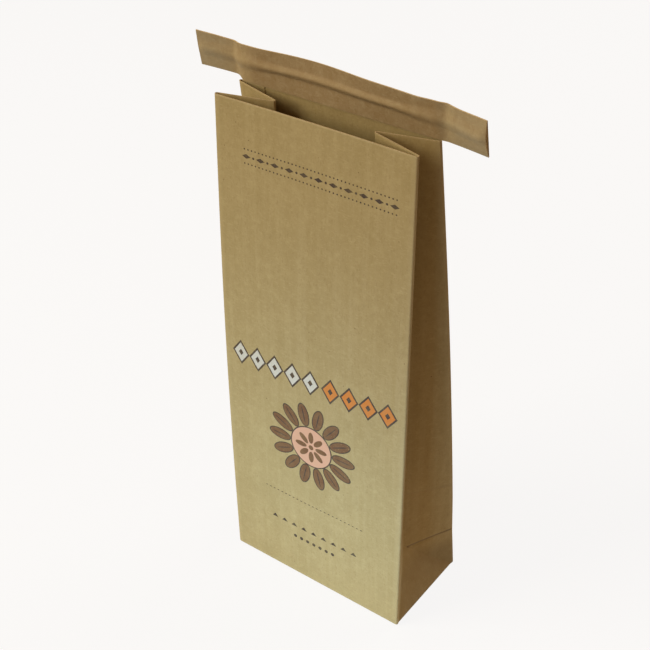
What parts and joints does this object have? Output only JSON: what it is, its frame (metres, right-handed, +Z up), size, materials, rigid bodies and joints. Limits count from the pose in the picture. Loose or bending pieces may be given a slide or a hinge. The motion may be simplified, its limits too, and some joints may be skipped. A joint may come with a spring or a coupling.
{
  "type": "paper sick bag",
  "caption": "Stand-up kraft paper bag with a block bottom, folded side gussets, a tall back lip and a wired paper strip whose ends stick out and bend round to close it.",
  "frame": {"origin": "centre of the base, on the surface that the bag stands on", "axes": "+Z up from the base to the mouth, -Y out of the front panel, +X to the right seen from the front"},
  "size_m": [0.1574, 0.0596, 0.3013],
  "materials": {
    "kraft_paper": "uncoated machine-glazed brown kraft, matt",
    "strip_paper": "two glued plies of brown kraft, matt",
    "wire_steel": "soft annealed steel wire"
  },
  "bodies": {
    "root": {"bag": "kraft_paper", "closure_strip": "strip_paper", "tie_wire": "wire_steel"}
  },
  "joints": []
}
